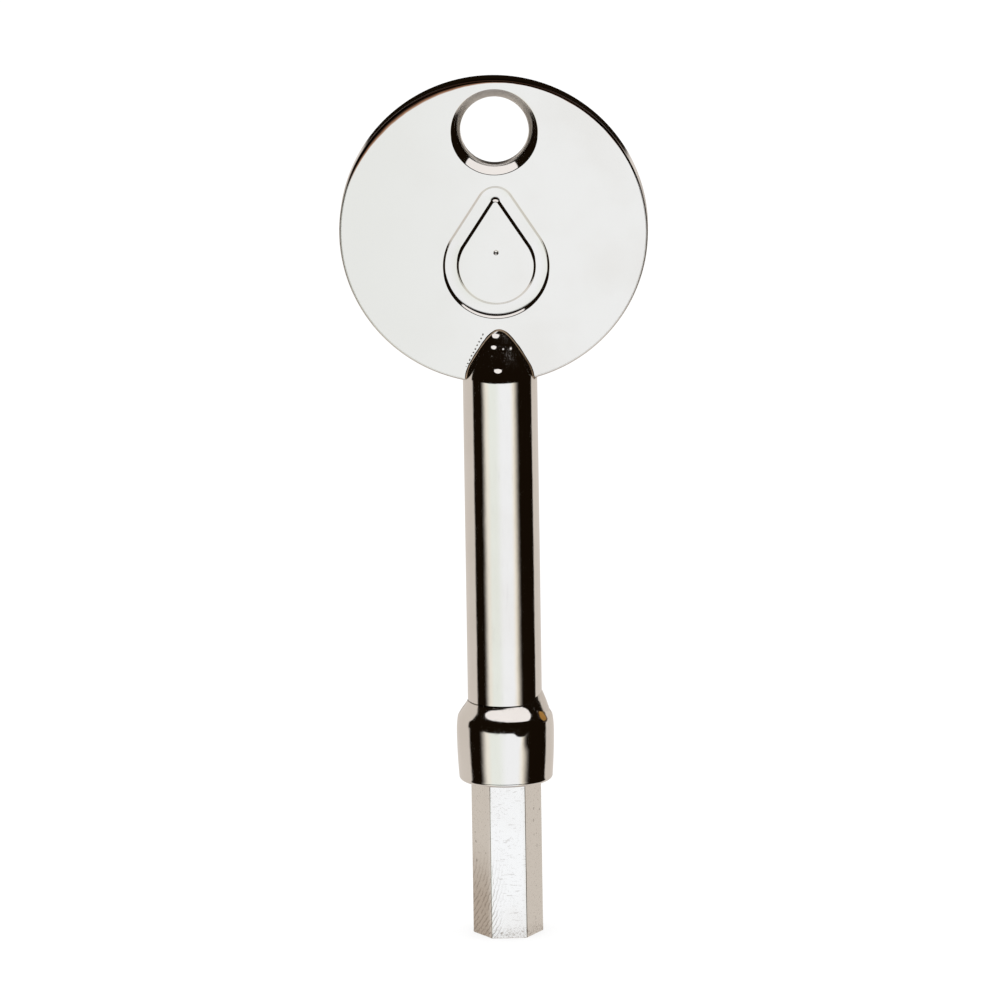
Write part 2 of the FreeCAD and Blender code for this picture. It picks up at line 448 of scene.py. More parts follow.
class Effects:
    """The node groups that the finishes share."""

    def __init__(self) -> None:
        """Builds each group once."""
        self.waviness = self._waviness()
        self.scratches = self._scratches()
        self.patch = self._patch()
        self.pits = self._pits()

    def _waviness(self) -> bpy.types.NodeTree:
        """The long and the short ripples that hand polishing leaves."""
        desk, given, out = new_group("polish waviness", "Height", {"Scale": 250.0, "Fine": 0.2})
        broad = desk.noise(given.outputs["Vector"], given.outputs["Scale"], 1.0)
        fine_scale = desk.math("MULTIPLY", given.outputs["Scale"], 5.0)
        fine = desk.noise(given.outputs["Vector"], fine_scale, 2.0)
        share = desk.math("MULTIPLY", fine, given.outputs["Fine"])
        desk.feed(out.inputs[0], desk.math("ADD", broad, share))
        return desk.tree

    def _scratches(self) -> bpy.types.NodeTree:
        """Fine scratches in two slanting directions."""
        desk, given, out = new_group("fine scratches", "Mask", {"Scale": 600.0, "Amount": 0.3})
        lines = []
        for turn_, stretch in ((0.5, 14.0), (-0.9, 22.0)):
            slanted = desk.stretch(given.outputs["Vector"], rotation=(0.3, turn_, 0.2), scale=(stretch, stretch, 1.0))
            value = desk.noise(slanted, given.outputs["Scale"], 1.0)
            lines.append(desk.step(value, 0.62, 0.74))
        both = desk.math("MAXIMUM", *lines)
        desk.feed(out.inputs[0], desk.math("MULTIPLY", both, given.outputs["Amount"]))
        return desk.tree

    def _patch(self) -> bpy.types.NodeTree:
        """A patch round a place, with a ragged edge."""
        desk, given, out = new_group("plating wear", "Mask", {"Radius": 0.001, "Ragged": 0.4, "Scale": 1500.0},
                                     ("Vector", "Centre"))
        apart = desk.add("ShaderNodeVectorMath", operation="DISTANCE")
        desk.feed(apart.inputs[0], given.outputs["Vector"])
        desk.feed(apart.inputs[1], given.outputs["Centre"])
        reach = desk.math("DIVIDE", apart.outputs["Value"], given.outputs["Radius"])
        cloud = desk.noise(given.outputs["Vector"], given.outputs["Scale"], 3.0)
        swing = desk.math("MULTIPLY", desk.math("SUBTRACT", cloud, 0.5), given.outputs["Ragged"])
        desk.feed(out.inputs[0], desk.step(desk.math("ADD", reach, swing), 1.1, 0.8))
        return desk.tree

    def _pits(self) -> bpy.types.NodeTree:
        """Small scattered pits."""
        desk, given, out = new_group("pits", "Mask", {"Scale": 900.0, "Size": 0.12})
        cells = desk.add("ShaderNodeTexVoronoi")
        desk.feed(cells.inputs["Vector"], given.outputs["Vector"])
        desk.feed(cells.inputs["Scale"], given.outputs["Scale"])
        inside = desk.math("LESS_THAN", cells.outputs["Distance"], given.outputs["Size"])
        rare = desk.noise(given.outputs["Vector"], desk.math("MULTIPLY", given.outputs["Scale"], 0.2), 1.0)
        desk.feed(out.inputs[0], desk.math("MULTIPLY", inside, desk.step(rare, 0.52, 0.62)))
        return desk.tree


@dataclass(frozen=True)
class WornPatch:
    """A place where the plating has gone or has stained."""

    centre: Place
    radius: float
    colour: Colour
    ragged: float = 0.4
    rough: float = 0.22


@dataclass(frozen=True)
class Finish:
    """Plated metal: its colour, its polish, and the marks on it."""

    name: str
    colour: Colour
    tint: Colour
    roughness: float = 0.06
    wave_depth: float = 0.010
    wave_size: float = 4.0
    scratch: float = 0.10
    scratch_depth: float = 0.0002
    pit_depth: float = 0.0
    patches: tuple[WornPatch, ...] = field(default=())

    def make(self, effects: Effects) -> bpy.types.Material:
        """Builds the material.

        Args:
            effects: The shared node groups.

        Returns:
            The finished material.
        """
        material = bpy.data.materials.new(self.name)
        material.use_nodes = True
        desk = NodeDesk(material.node_tree)
        shader = material.node_tree.nodes["Principled BSDF"]
        shader.inputs["Metallic"].default_value = 1.0
        place = desk.add("ShaderNodeTexCoord").outputs["Object"]
        cloud = desk.noise(place, 180.0, 3.0)
        colour = desk.mix(desk.step(cloud, 0.4, 0.7), self.colour, self.tint)
        scratches = desk.group(effects.scratches, vector=place, amount=1.0)
        rough = desk.math("MULTIPLY_ADD", scratches, self.scratch, self.roughness)
        rough = desk.math("MULTIPLY_ADD", desk.step(cloud, 0.3, 0.8), self.roughness * 0.5, rough)
        for patch in self.patches:
            centre = tuple(part * MM for part in patch.centre)
            mask = desk.group(effects.patch, vector=place, centre=centre, radius=patch.radius * MM,
                              ragged=patch.ragged)
            colour = desk.mix(mask, colour, patch.colour)
            rough = desk.math("MULTIPLY_ADD", mask, patch.rough, rough)
        colour, rough, height = self.marks(desk, effects, place, colour, rough)
        waves = desk.group(effects.waviness, vector=place, scale=1.0 / (self.wave_size * MM))
        height = desk.math("MULTIPLY_ADD", waves, self.wave_depth * MM, height)
        height = desk.math("MULTIPLY_ADD", scratches, -self.scratch_depth * MM, height)
        if self.pit_depth > 0:
            pits = desk.group(effects.pits, vector=place)
            height = desk.math("MULTIPLY_ADD", pits, -self.pit_depth * MM, height)
        bump = desk.add("ShaderNodeBump")
        bump.inputs["Strength"].default_value = 1.0
        bump.inputs["Distance"].default_value = 1.0
        desk.feed(bump.inputs["Height"], height)
        desk.feed(shader.inputs["Base Color"], colour)
        desk.feed(shader.inputs["Roughness"], rough)
        desk.feed(shader.inputs["Normal"], bump.outputs["Normal"])
        return material

    def marks(self, desk: NodeDesk, effects: Effects, place: bpy.types.NodeSocket, colour: bpy.types.NodeSocket,
              rough: bpy.types.NodeSocket) -> tuple[object, object, object]:
        """Adds the marks of one kind of piece; plain plating has none.

        Args:
            desk: The material's desk; not used here.
            effects: The shared node groups; not used here.
            place: The object coordinates; not used here.
            colour: The colour so far.
            rough: The roughness so far.

        Returns:
            The colour, the roughness and the height of the marks in metres.
        """
        return colour, rough, 0.0


@dataclass(frozen=True)
class BowFinish(Finish):
    """Nickel that has rubbed thin along the upper rim of the bow's front, widest at the upper left, with painted light:
    a painted dark reflection in the rub's deepest part, painted shade towards the left of the face and painted shade in
    the pores.
    """

    rub_colour: Colour = (0.34, 0.17, 0.095)
    worn_rim_and_dark_reflection_colour: Colour = (0.030, 0.014, 0.008)
    rim_centre: Point = (-0.33, 59.09)
    hole_centre: Point = (-0.15, 67.38)
    left_shade_colour: Colour = (0.755, 0.735, 0.685)
    rub_start: float = 12.38
    rub_end: float = 12.47
    rub_widening: float = 0.30
    rub_raggedness: float = 0.08
    rub_angles: Point = (34.0, 158.0)
    wide_angles: Point = (98.0, 148.0)
    bright_angles: Point = (20.0, 160.0)
    edge_dulling: float = 0.32
    wall_dulling: float = 0.26
    pore_shade_colour: Colour = (0.06, 0.035, 0.02)
    pore_top: Point = (-1.25, 50.75)
    pore_foot: Point = (-2.72, 47.95)
    pore_spacing: float = 0.34

    def marks(self, desk: NodeDesk, effects: Effects, place: bpy.types.NodeSocket, colour: bpy.types.NodeSocket,
              rough: bpy.types.NodeSocket) -> tuple[object, object, object]:
        """Adds the copper-brown rub along the rim, whose deepest part is a painted dark reflection, painted shade
        towards the left, the duller edges and the row of pores with painted shade in them.

        Args:
            desk: The material's desk.
            effects: The shared node groups; not used here.
            place: The object coordinates.
            colour: The colour so far.
            rough: The roughness so far.

        Returns:
            The colour, the roughness and the height of the marks in metres.
        """
        x, y, z = desk.split(place)
        across, above, radius = desk.around(x, z, self.rim_centre)
        angle = desk.math("DEGREES", desk.math("ARCTAN2", above, across))
        front = desk.step(y, -0.5 * MM, -1.0 * MM)
        share = desk.math("MULTIPLY", desk.window(angle, *self.rub_angles, 6.0), front)
        widest = desk.window(angle, *self.wide_angles, 20.0)
        ragged = desk.math("MULTIPLY_ADD", desk.noise(place, 900.0, 3.0), self.rub_raggedness * MM, radius)
        middle = self.rub_raggedness / 2
        begin = desk.math("MULTIPLY_ADD", widest, -self.rub_widening * MM, (self.rub_start + middle) * MM)
        width = desk.math("SUBTRACT", (self.rub_end + middle) * MM, begin)
        depth = desk.math("DIVIDE", desk.math("SUBTRACT", ragged, begin), width)
        light = desk.math("MULTIPLY", desk.step(depth, 0.0, 0.35), share)
        # The rub's deepest part is partly worn plating and partly a painted dark reflection: a near-black colour that
        # widens the dark crescent the rounded rim reflects.
        worn_rim_and_dark_reflection = desk.math("MULTIPLY", desk.step(depth, 0.30, 0.75), share)
        # Painted shade: the base colour darkens towards the left of the bow, standing in for light that falls off
        # there.
        colour = desk.mix(desk.step(x, 4.0 * MM, -13.0 * MM), colour, self.left_shade_colour)
        colour = desk.mix(worn_rim_and_dark_reflection, desk.mix(light, colour, self.rub_colour), self.worn_rim_and_dark_reflection_colour)
        pores = desk.math("MULTIPLY", self._pores(desk, x, z, place), front)
        # Painted shade: the pores get a dark colour that stands for the shade inside them.
        colour = desk.dab(pores, 0.85, colour, self.pore_shade_colour)
        lower = desk.math("SUBTRACT", 1.0, desk.window(angle, *self.bright_angles, 6.0))
        lower = desk.math("MULTIPLY", desk.step(radius, 12.37 * MM, 12.43 * MM), lower)
        rough = desk.math("MULTIPLY_ADD", lower, self.edge_dulling, rough)
        rough = desk.math("MULTIPLY_ADD", self._hole_wall(desk, x, z), self.wall_dulling, rough)
        return colour, rough, desk.math("MULTIPLY", pores, -0.01 * MM)

    def _hole_wall(self, desk: NodeDesk, x: bpy.types.NodeSocket, z: bpy.types.NodeSocket) -> bpy.types.NodeSocket:
        """Marks the land of the keyring hole and the upper part of its sinks, which the polishing mop missed.

        Args:
            desk: The material's desk.
            x: The object coordinates' X.
            z: The object coordinates' Z.

        Returns:
            The mask of the duller wall.
        """
        _, above, radius = desk.around(x, z, self.hole_centre)
        inside = desk.step(radius, 3.55 * MM, 3.50 * MM)
        land = desk.step(radius, 2.95 * MM, 2.90 * MM)
        upper = desk.math("MULTIPLY", inside, desk.step(above, 0.3 * MM, 2.6 * MM))
        return desk.math("MAXIMUM", land, upper)

    def _pores(self, desk: NodeDesk, x: bpy.types.NodeSocket, z: bpy.types.NodeSocket,
               place: bpy.types.NodeSocket) -> bpy.types.NodeSocket:
        """Marks the row of fine gas pores beside the left flank of the nose.

        Args:
            desk: The material's desk.
            x: The object coordinates' X.
            z: The object coordinates' Z.
            place: The object coordinates.

        Returns:
            The mask of the pores.
        """
        top, foot = Vector(self.pore_top), Vector(self.pore_foot)
        run = foot - top
        way = run.normalized()
        over = desk.math("SUBTRACT", x, top.x * MM)
        down = desk.math("SUBTRACT", z, top.y * MM)
        along = desk.math("ADD", desk.math("MULTIPLY", over, way.x), desk.math("MULTIPLY", down, way.y))
        aside = desk.math("ADD", desk.math("MULTIPLY", over, -way.y), desk.math("MULTIPLY", down, way.x))
        drift = desk.math("MULTIPLY", desk.math("SUBTRACT", desk.noise(place, 2500.0, 1.0), 0.5), 0.25 * MM)
        aside = desk.math("ABSOLUTE", desk.math("ADD", aside, drift))
        turns = desk.math("FRACT", desk.math("DIVIDE", desk.math("ADD", along, drift), self.pore_spacing * MM))
        dots = desk.window(turns, 0.30, 0.62, 0.10)
        line = desk.step(aside, 0.075 * MM, 0.035 * MM)
        ends = desk.window(along, 0.0, run.length * MM, 0.05 * MM)
        return desk.math("MULTIPLY", desk.math("MULTIPLY", dots, line), ends)


@dataclass(frozen=True)
class BitFinish(Finish):
    """Milled metal under thin plating, with the cutter's arcs, a worn lower edge and painted shade that makes its side
    facets darker than its front facet.
    """

    arc_centre: Place = (-15.0, 0.0, 8.2)
    arc_spacing: float = 0.27
    arc_depth: float = 0.003
    side_facet_shade_colour: Colour = (0.80, 0.775, 0.725)
    stain_colour: Colour = (0.46, 0.38, 0.30)
    arc_colour: Colour = (0.22, 0.17, 0.13)
    grain_colour: Colour = (0.40, 0.36, 0.32)
    nick_colour: Colour = (0.42, 0.38, 0.34)
    speckle_colour: Colour = (0.30, 0.24, 0.19)
    pit_colour: Colour = (0.10, 0.07, 0.05)

    def marks(self, desk: NodeDesk, effects: Effects, place: bpy.types.NodeSocket, colour: bpy.types.NodeSocket,
              rough: bpy.types.NodeSocket) -> tuple[object, object, object]:
        """Adds the cutter's arcs, draw lines, nicks, painted shade on the side facets, a stain on the lower left facet
        and a speckled lower edge.

        Args:
            desk: The material's desk.
            effects: The shared node groups.
            place: The object coordinates.
            colour: The colour so far.
            rough: The roughness so far.

        Returns:
            The colour, the roughness and the height of the marks in metres.
        """
        x, _, z = desk.split(place)
        rings = desk.add("ShaderNodeTexWave", wave_type="RINGS", rings_direction="Y", wave_profile="SAW")
        for key, value in (("Scale", 0.314 / (self.arc_spacing * MM)), ("Distortion", 3.2), ("Detail", 2.0),
                           ("Detail Scale", 2.0)):
            rings.inputs[key].default_value = value
        centre = tuple(-part * MM for part in self.arc_centre)
        desk.feed(rings.inputs["Vector"], desk.stretch(place, location=centre, scale=(1.0, 0.3, 1.0)))
        left = desk.step(x, 0.2 * MM, -1.5 * MM)
        low = desk.step(z, 8.5 * MM, 2.5 * MM)
        corner = desk.math("MULTIPLY", left, low)
        broken = desk.step(desk.noise(place, 1100.0, 2.0), 0.30, 0.50)
        arcs = desk.math("MULTIPLY", desk.step(rings.outputs["Fac"], 0.55, 0.95), desk.math("MULTIPLY", corner, broken))
        lines = desk.noise(desk.stretch(place, scale=(1.0, 1.0, 0.04)), 3500.0, 2.0)
        chatter = desk.stretch(place, rotation=(0.0, -0.25, 0.0), scale=(0.22, 1.0, 1.0))
        nicks = desk.step(desk.noise(chatter, 7000.0, 3.0), 0.60, 0.68)
        grain = desk.noise(place, 6500.0, 3.0)
        pits = desk.group(effects.pits, vector=place, scale=1300.0, size=0.16)
        end = desk.step(z, 1.3 * MM, 0.2 * MM)
        speckle = desk.math("MULTIPLY", desk.step(grain, 0.5, 0.62), end)
        outer = desk.step(x, -1.2 * MM, -1.7 * MM)
        flank = desk.step(desk.math("ABSOLUTE", x), 1.25 * MM, 1.6 * MM)
        # Painted shade: the side facets get a darker colour than the front facet, standing for the light that falls off
        # round the bit.
        colour = desk.mix(flank, colour, self.side_facet_shade_colour)
        for mask, share, tone in (
                (desk.math("MULTIPLY", outer, low), 0.65, self.stain_colour), (arcs, 0.55, self.arc_colour),
                (desk.step(grain, 0.60, 0.70), 0.30, self.grain_colour), (nicks, 0.40, self.nick_colour),
                (speckle, 0.55, self.speckle_colour), (pits, 0.35, self.pit_colour)):
            colour = desk.dab(mask, share, colour, tone)
        rough = desk.math("MULTIPLY_ADD", arcs, 0.12, rough)
        rough = desk.math("MULTIPLY_ADD", end, 0.12, rough)
        height = desk.math("MULTIPLY", arcs, self.arc_depth * MM)
        height = desk.math("MULTIPLY_ADD", lines, 0.0006 * MM, height)
        height = desk.math("MULTIPLY_ADD", pits, -0.003 * MM, height)
        return colour, rough, height


NICKEL_COLOUR = (0.80, 0.775, 0.735)
NICKEL_TINT = (0.775, 0.745, 0.70)

BOW_NICKEL = BowFinish("bow_bright_nickel", NICKEL_COLOUR, NICKEL_TINT, roughness=0.05, wave_depth=0.006,
                       wave_size=7.0, scratch=0.02, scratch_depth=0.00008)
STEM_NICKEL = Finish("stem_bright_nickel", NICKEL_COLOUR, NICKEL_TINT, roughness=0.05, wave_depth=0.022,
                     wave_size=3.6)
COLLAR_NICKEL = Finish(
    "collar_bright_nickel", NICKEL_COLOUR, NICKEL_TINT, roughness=0.05, wave_depth=0.018, wave_size=2.8,
    patches=(WornPatch((3.2, -2.05, 18.75), 0.60, (0.09, 0.04, 0.015), 0.9),
             WornPatch((3.2, -2.05, 18.75), 0.42, (0.95, 0.62, 0.20), 0.9, 0.6)))
BIT_NICKEL = BitFinish("milled_bit_nickel", (0.87, 0.85, 0.815), (0.82, 0.79, 0.745), roughness=0.08,
                       wave_depth=0.006, wave_size=1.6, scratch=0.08, scratch_depth=0.0003)
BEAD_NICKEL = Finish("bead_thin_nickel", (0.42, 0.31, 0.22), (0.28, 0.19, 0.12), roughness=0.26, wave_depth=0.03,
                     wave_size=0.7, pit_depth=0.02)
BRAZE_NICKEL = Finish("plated_filler", (0.74, 0.705, 0.66), (0.60, 0.55, 0.49), roughness=0.11, wave_depth=0.03,
                      wave_size=0.7, pit_depth=0.02)


# ---------------------------------------------------------------- pieces


@dataclass
class SubAssembly:
    """One piece of the key that takes a CAD node's place."""

    node: str = ""
    slot: Slot = Slot.NICKEL

    def fit(self, piece: bpy.types.Object, finish: bpy.types.Material, node: str = "") -> bpy.types.Object:
        """Dresses a piece and puts it on the frame.

        Args:
            piece: The finished mesh.
            finish: Its material.
            node: The CAD node that it stands for, where it isn't the class's own.

        Returns:
            The piece.
        """
        piece.data.materials.clear()
        piece.data.materials.append(finish)
        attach(piece, BODY)
        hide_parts(node or self.node)
        return piece


@dataclass
class Bow(SubAssembly):
    """The stamped disc, with its keyring hole and its water-drop mark."""

    node: str = "bow_plate"
    radius: float = 12.6
    thickness: float = 2.5
    offset: float = -0.33
    centre_height: float = 59.09
    edge_radius: float = 0.2
    hole_radius: float = 2.8
    mouth_radius: float = 3.55
    hole_place: Point = (-0.15, 67.38)
    mark_height: float = 57.40
    drop_height: float = 9.7
    round_radius: float = 3.7
    tip_radius: float = 0.9
    groove_width: float = 1.3
    groove_depth: float = 0.18
    pip_radius: float = 0.2
    pip_depth: float = 0.2
    edge_softness: float = 0.045
    overshoot: float = 0.1
    seat_height: float = 46.787

    def build(self, effects: Effects) -> bpy.types.Object:
        """Models the bow and dresses it.

        Args:
            effects: The shared node groups.

        Returns:
            The bow.
        """
        half = self.thickness / 2
        inner = self.radius - self.edge_radius
        flat = half - self.edge_radius
        front = arc((inner, -flat), self.edge_radius, -90, 0, 6)
        back = arc((inner, flat), self.edge_radius, 0, 90, 6)
        piece = turn("bow", front + back, Axis.THROUGH, (self.offset, 0, self.centre_height))
        carve(piece, self._hole_cutter())
        carve(piece, self._mark_cutter())
        carve(piece, self._pip_cutter())
        soften(piece, self.edge_softness)
        with editing(piece):
            bpy.ops.mesh.select_all(action="SELECT")
            bpy.ops.mesh.bisect(plane_co=(0, 0, self.seat_height * MM), plane_no=(0, 0, 1), use_fill=True,
                                clear_inner=True, threshold=TINY)
        smooth(piece)
        return self.fit(piece, BOW_NICKEL.make(effects))

    def _hole_cutter(self) -> bpy.types.Object:
        """The keyring hole: a short land between two countersinks."""
        half = self.thickness / 2
        land = half - (self.mouth_radius - self.hole_radius)
        mouth = self.mouth_radius + self.overshoot
        out = half + self.overshoot
        profile = [(mouth, -out), (self.hole_radius, -land), (self.hole_radius, land), (mouth, out)]
        return turn("hole_cutter", profile, Axis.THROUGH, (self.hole_place[0], 0, self.hole_place[1]))

    def _mark_cutter(self) -> bpy.types.Object:
        """The groove of the water drop: a round groove whose upper part is drawn up to a tip."""
        face = -self.thickness / 2
        low = self.mark_height + self.round_radius - self.drop_height / 2
        centre = Vector((self.hole_place[0], 0, low))
        rise_ = self.drop_height - self.round_radius - self.tip_radius
        tangent = math.asin((self.round_radius - self.tip_radius) / rise_)
        wide = self.groove_width / 2 + self.overshoot
        narrow = self.groove_width / 2 - self.groove_depth
        rings = [(wide, face - self.overshoot), (narrow, face + self.groove_depth),
                 (-narrow, face + self.groove_depth), (-wide, face - self.overshoot)]
        profile = [(self.round_radius + offset, place) for offset, place in rings]
        cutter = turn("mark_cutter", profile, Axis.THROUGH, tuple(centre), closed=True)

        def upper(at: Vector) -> bool:
            """Whether a place lies above the tangents' feet."""
            apart = at - centre
            return math.atan2(apart.z, abs(apart.x)) > tangent - 0.001

        with editing(cutter):
            for offset, place in rings:
                reach = self.round_radius + offset
                select_where(cutter, lambda at: upper(at) and abs(at.y - place) < 0.01
                             and abs(math.hypot(at.x - centre.x, at.z - centre.z) - reach) < 0.01)
                ratio = (self.tip_radius + offset) / reach
                bpy.ops.transform.resize(value=(ratio, 1, ratio), center_override=(centre.x * MM, 0, centre.z * MM))
            select_where(cutter, upper)
            bpy.ops.transform.translate(value=(0, 0, rise_ * MM))
            bpy.ops.mesh.select_all(action="SELECT")
            bpy.ops.mesh.normals_make_consistent(inside=False)
        return cutter

    def _pip_cutter(self) -> bpy.types.Object:
        """The centre-punch pip in the middle of the mark."""
        cutter = new_piece("pip_cutter")
        face = -self.thickness / 2
        ratio = (self.pip_depth + self.overshoot) / self.pip_depth
        with editing(cutter):
            bpy.ops.mesh.primitive_cone_add(
                vertices=32, radius1=self.pip_radius * ratio * MM, depth=self.pip_depth * ratio * MM,
                rotation=(-math.pi / 2, 0, 0),
                location=(self.hole_place[0] * MM, (face + (self.pip_depth - self.overshoot) / 2) * MM,
                          self.mark_height * MM))
            close_up()
        return cutter


@dataclass
class Stem(SubAssembly):
    """The turned bar, whose cone-shaped nose is slotted for the bow."""

    node: str = "stem"
    radius: float = 3.05
    seam: float = 19.69
    nose_corner: float = 47.49
    nose_half_angle: float = 27.6
    shoulder_radius: float = 3.5
    spigot_radius: float = 2.08
    spigot_length: float = 2.4
    foot_chamfer: float = 0.06
    slot_width: float = 2.5
    slot_floor: float = 46.787
    lump_depth: float = 0.010
    lump_size: float = 0.8
    nose_dents: tuple[tuple[Place, float, float], ...] = (
        ((-0.30, -1.50, 50.72), 0.46, 0.080), ((-0.46, -1.9, 49.92), 0.40, 0.055), ((-0.60, -2.2, 49.28), 0.26, 0.030),
        ((-0.10, -2.75, 48.15), 0.62, 0.15), ((0.35, -1.95, 49.75), 0.17, 0.026), ((0.95, -1.75, 49.75), 0.17, 0.026))

    @property
    def tip(self) -> float:
        """The height at which the nose's cone would come to a point."""
        return self.nose_corner + self.radius / math.tan(math.radians(self.nose_half_angle))

    def shoulder(self) -> list[Point]:
        """The arc from the bar's side to the nose's side."""
        start = self.nose_corner - self.shoulder_radius * math.tan(math.radians(self.nose_half_angle / 2))
        return arc((self.radius - self.shoulder_radius, start), self.shoulder_radius, 0, self.nose_half_angle, 10)

    def nose_radius(self, height: float) -> float:
        """The nose's radius at a height.

        Args:
            height: The height above the origin.

        Returns:
            The radius there.
        """
        rings = self.shoulder()
        if height <= rings[0][1]:
            return self.radius
        if height >= rings[-1][1]:
            return max((self.tip - height) * math.tan(math.radians(self.nose_half_angle)), 0.0)
        above = height - rings[0][1]
        return self.radius - self.shoulder_radius + math.sqrt(self.shoulder_radius ** 2 - above ** 2)

    def build(self, effects: Effects) -> bpy.types.Object:
        """Models the stem and dresses it.

        Args:
            effects: The shared node groups.

        Returns:
            The stem.
        """
        rings = self.shoulder()
        foot = self.seam + self.foot_chamfer
        side = [(self.radius, foot + step * (rings[0][1] - foot) / 24) for step in range(24)]
        last = rings[-1]
        top = self.tip - 0.12
        cone = [(self.nose_radius(height), height)
                for height in [last[1] + step * (top - last[1]) / 28 for step in range(1, 29)]]
        profile = [(self.spigot_radius, self.seam - self.spigot_length), (self.spigot_radius, self.seam),
                   (self.radius - self.foot_chamfer, self.seam), *side, *rings, *cone]
        piece = turn("turned_stem", profile, Axis.UPRIGHT, (0, 0, 0))
        roughen(piece, self.lump_depth, self.lump_size,
                lambda at: rise(self.nose_corner - 0.4, self.nose_corner + 1.4, at.z))
        for place, reach, depth in self.nose_dents:
            dent(piece, place, reach, (0, depth, -depth / 2))
        carve(piece, self._slot_cutter())
        smooth(piece)
        return self.fit(piece, STEM_NICKEL.make(effects))

    def _slot_cutter(self) -> bpy.types.Object:
        """The slot across the nose."""
        cutter = new_piece("slot_cutter")
        height = 10.0
        with editing(cutter):
            bpy.ops.mesh.primitive_cube_add(size=MM, location=(0, 0, (self.slot_floor + height / 2) * MM))
            bpy.ops.transform.resize(value=(4 * self.radius, self.slot_width, height),
                                     center_override=(0, 0, (self.slot_floor + height / 2) * MM))
        return cutter


@dataclass
class Collar(SubAssembly):
    """The sleeve over the stem's foot, crowned at its side and coned at its top."""

    node: str = "collar"
    end_radius: float = 3.85
    widest_radius: float = 4.0
    widest_height: float = 17.2
    upper_curve: float = 0.075
    cone_swell: float = 0.0146
    lower_curve: float = 0.0103
    bottom: float = 13.03
    length: float = 5.44
    cone_height: float = 1.22
    stem_radius: float = 3.05
    bore_radius: float = 2.1
    edge_radius: float = 0.3
    cone_edge: float = 0.16
    socket_across: float = 5.0
    socket_depth: float = 4.0
    bit_turn: float = 3.0
    side_ends: Point = (13.30, 18.40)
    bump: tuple[Place, float, Place] = ((1.45, -3.72, 16.95), 0.95, (0.014, -0.040, 0.0))

    def side_radius(self, height: float) -> float:
        """The radius of the crowned side, which is widest near its top.

        Args:
            height: The height above the origin.

        Returns:
            The radius there.
        """
        away = height - self.widest_height
        return self.widest_radius - (self.upper_curve if away > 0 else self.lower_curve) * away ** 2

    def build(self, effects: Effects) -> bpy.types.Object:
        """Models the collar and dresses it.

        Args:
            effects: The shared node groups.

        Returns:
            The collar.
        """
        seam = self.bottom + self.length + self.cone_height
        low, high = self.side_ends
        heights = [low + (high - low) * step / 26 for step in range(27)]
        side = [(self.side_radius(height), height) for height in heights]
        corner = arc((self.end_radius - self.edge_radius, self.bottom + self.edge_radius), self.edge_radius, -90, -8, 7)
        cone_top = self.bottom + self.length
        slope = (self.stem_radius - self.end_radius, self.cone_height)
        shares = [0.10 + 0.86 * step / 20 for step in range(21)]
        cone = [(self.end_radius + slope[0] * share + self.cone_swell * math.sin(math.tau * share),
                 cone_top + slope[1] * share) for share in shares]
        profile = [(self.bore_radius, self.bottom), *corner, *side, *cone,
                   (self.stem_radius - 0.06, seam - 0.03), (self.bore_radius, seam)]
        piece = turn("sleeve_collar", profile, Axis.UPRIGHT, (0, 0, 0), closed=True)
        dent(piece, *self.bump)
        carve(piece, self._socket_cutter())
        smooth(piece)
        return self.fit(piece, COLLAR_NICKEL.make(effects))

    def _socket_cutter(self) -> bpy.types.Object:
        """The hexagonal socket that the bit is held in."""
        cutter = new_piece("socket_cutter")
        with editing(cutter):
            bpy.ops.mesh.primitive_cylinder_add(
                vertices=6, radius=self.socket_across / math.sqrt(3) * MM, depth=2 * self.socket_depth * MM,
                location=(0, 0, self.bottom * MM), rotation=(0, 0, math.radians(self.bit_turn - 30)))
            close_up()
        return cutter


@dataclass
class HexBit(SubAssembly):
    """The hexagonal bar that turns the valve."""

    node: str = "hex_bit"
    slot: Slot = Slot.BIT
    across: float = 5.0
    length: float = 17.03
    turn_degrees: float = 3.0
    corner_softness: float = 0.06
    burr: float = 0.05
    burr_size: float = 0.35
    burr_height: float = 0.9
    cut_spacing: float = 0.13

    def build(self, effects: Effects) -> bpy.types.Object:
        """Models the bit and dresses it.

        Args:
            effects: The shared node groups.

        Returns:
            The bit.
        """
        piece = new_piece("hexagonal_bit")
        middle = (0, 0, self.length / 2 * MM)
        with editing(piece):
            bpy.ops.mesh.primitive_cylinder_add(
                vertices=6, radius=self.across / math.sqrt(3) * MM, depth=self.length * MM, location=middle,
                rotation=(0, 0, math.radians(self.turn_degrees - 30)))
            close_up()
        soften(piece, self.corner_softness, 40.0)
        with editing(piece):
            for cut in range(1, 40):
                height = 0.06 + 0.02 * cut ** 1.55
                bpy.ops.mesh.select_all(action="SELECT")
                bpy.ops.mesh.bisect(plane_co=(0, 0, height * MM), plane_no=(0, 0, 1))
            for turn_ in range(3):
                angle = math.radians(self.turn_degrees + 30 + 60 * turn_)
                across = Vector((-math.sin(angle), math.cos(angle), 0))
                for share in range(-10, 11):
                    bpy.ops.mesh.select_all(action="SELECT")
                    bpy.ops.mesh.bisect(plane_co=across * share * self.cut_spacing * MM, plane_no=across)
        roughen(piece, self.burr, self.burr_size, lambda at: rise(self.burr_height, 0.0, at.z))
        with editing(piece):
            select_where(piece, lambda at: at.z < 0)
            bpy.ops.transform.resize(value=(1, 1, 0), center_override=(0, 0, 0))
        smooth(piece)
        return self.fit(piece, BIT_NICKEL.make(effects))


